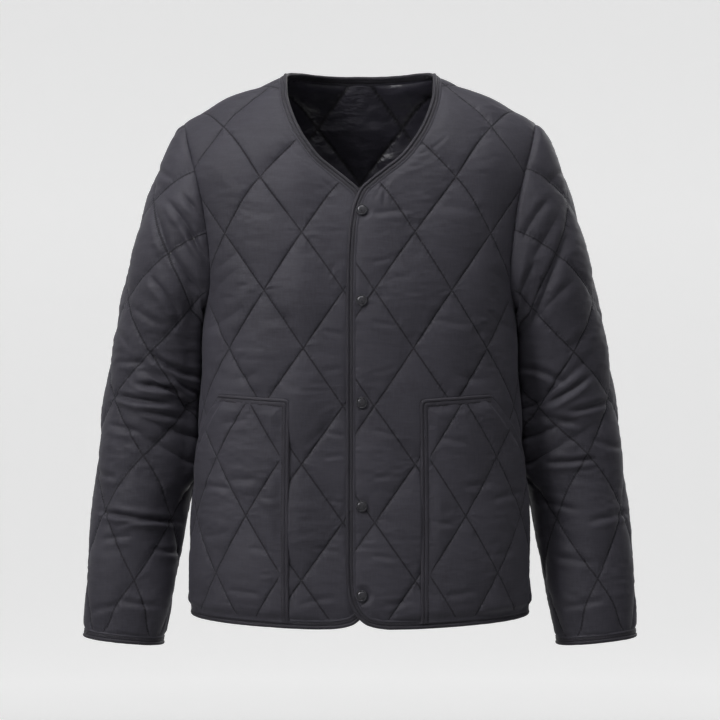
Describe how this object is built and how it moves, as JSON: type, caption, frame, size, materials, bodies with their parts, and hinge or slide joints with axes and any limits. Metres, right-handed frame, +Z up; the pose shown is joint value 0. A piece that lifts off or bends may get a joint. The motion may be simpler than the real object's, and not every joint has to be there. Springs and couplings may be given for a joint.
{
  "type": "quilted jacket",
  "caption": "Collarless quilted jacket with bound edges, snap front, rounded neck, patch pockets and set-in sleeves, hollow as worn.",
  "frame": {"origin": "midway between the neck ends of the two shoulder seams, at their height, where the wearer's shoulders hold the jacket up", "axes": "+Z up along the jacket's length, +X to the wearer's left, -Y out of the snap front"},
  "size_m": [0.6714, 0.2552, 0.7013],
  "materials": {
    "quilted_cloth": "satin nylon shell, quilted in diamonds",
    "edge_tape": "fine ribbed tape with a dull sheen",
    "snap_cap": "dark satin paint",
    "snap_metal": "dark gunmetal plate"
  },
  "bodies": {
    "root": {"front_left": "quilted_cloth", "front_right": "quilted_cloth", "back": "quilted_cloth", "sleeve_left": "quilted_cloth", "sleeve_right": "quilted_cloth", "pocket_left": "quilted_cloth", "pocket_right": "quilted_cloth", "binding_front_left": "edge_tape", "binding_front_right": "edge_tape", "binding_back_hem": "edge_tape", "binding_back_neck": "edge_tape", "binding_cuff_left": "edge_tape", "binding_cuff_right": "edge_tape", "pocket_band_left": "edge_tape", "pocket_band_right": "edge_tape", "snap_cap_1": "snap_cap", "snap_cap_2": "snap_cap", "snap_cap_3": "snap_cap", "snap_cap_4": "snap_cap", "snap_cap_5": "snap_cap", "snap_socket_1": "snap_metal", "snap_socket_2": "snap_metal", "snap_socket_3": "snap_metal", "snap_socket_4": "snap_metal", "snap_socket_5": "snap_metal", "snap_stud_1": "snap_metal", "snap_stud_2": "snap_metal", "snap_stud_3": "snap_metal", "snap_stud_4": "snap_metal", "snap_stud_5": "snap_metal", "snap_back_1": "snap_metal", "snap_back_2": "snap_metal", "snap_back_3": "snap_metal", "snap_back_4": "snap_metal", "snap_back_5": "snap_metal"}
  },
  "joints": []
}
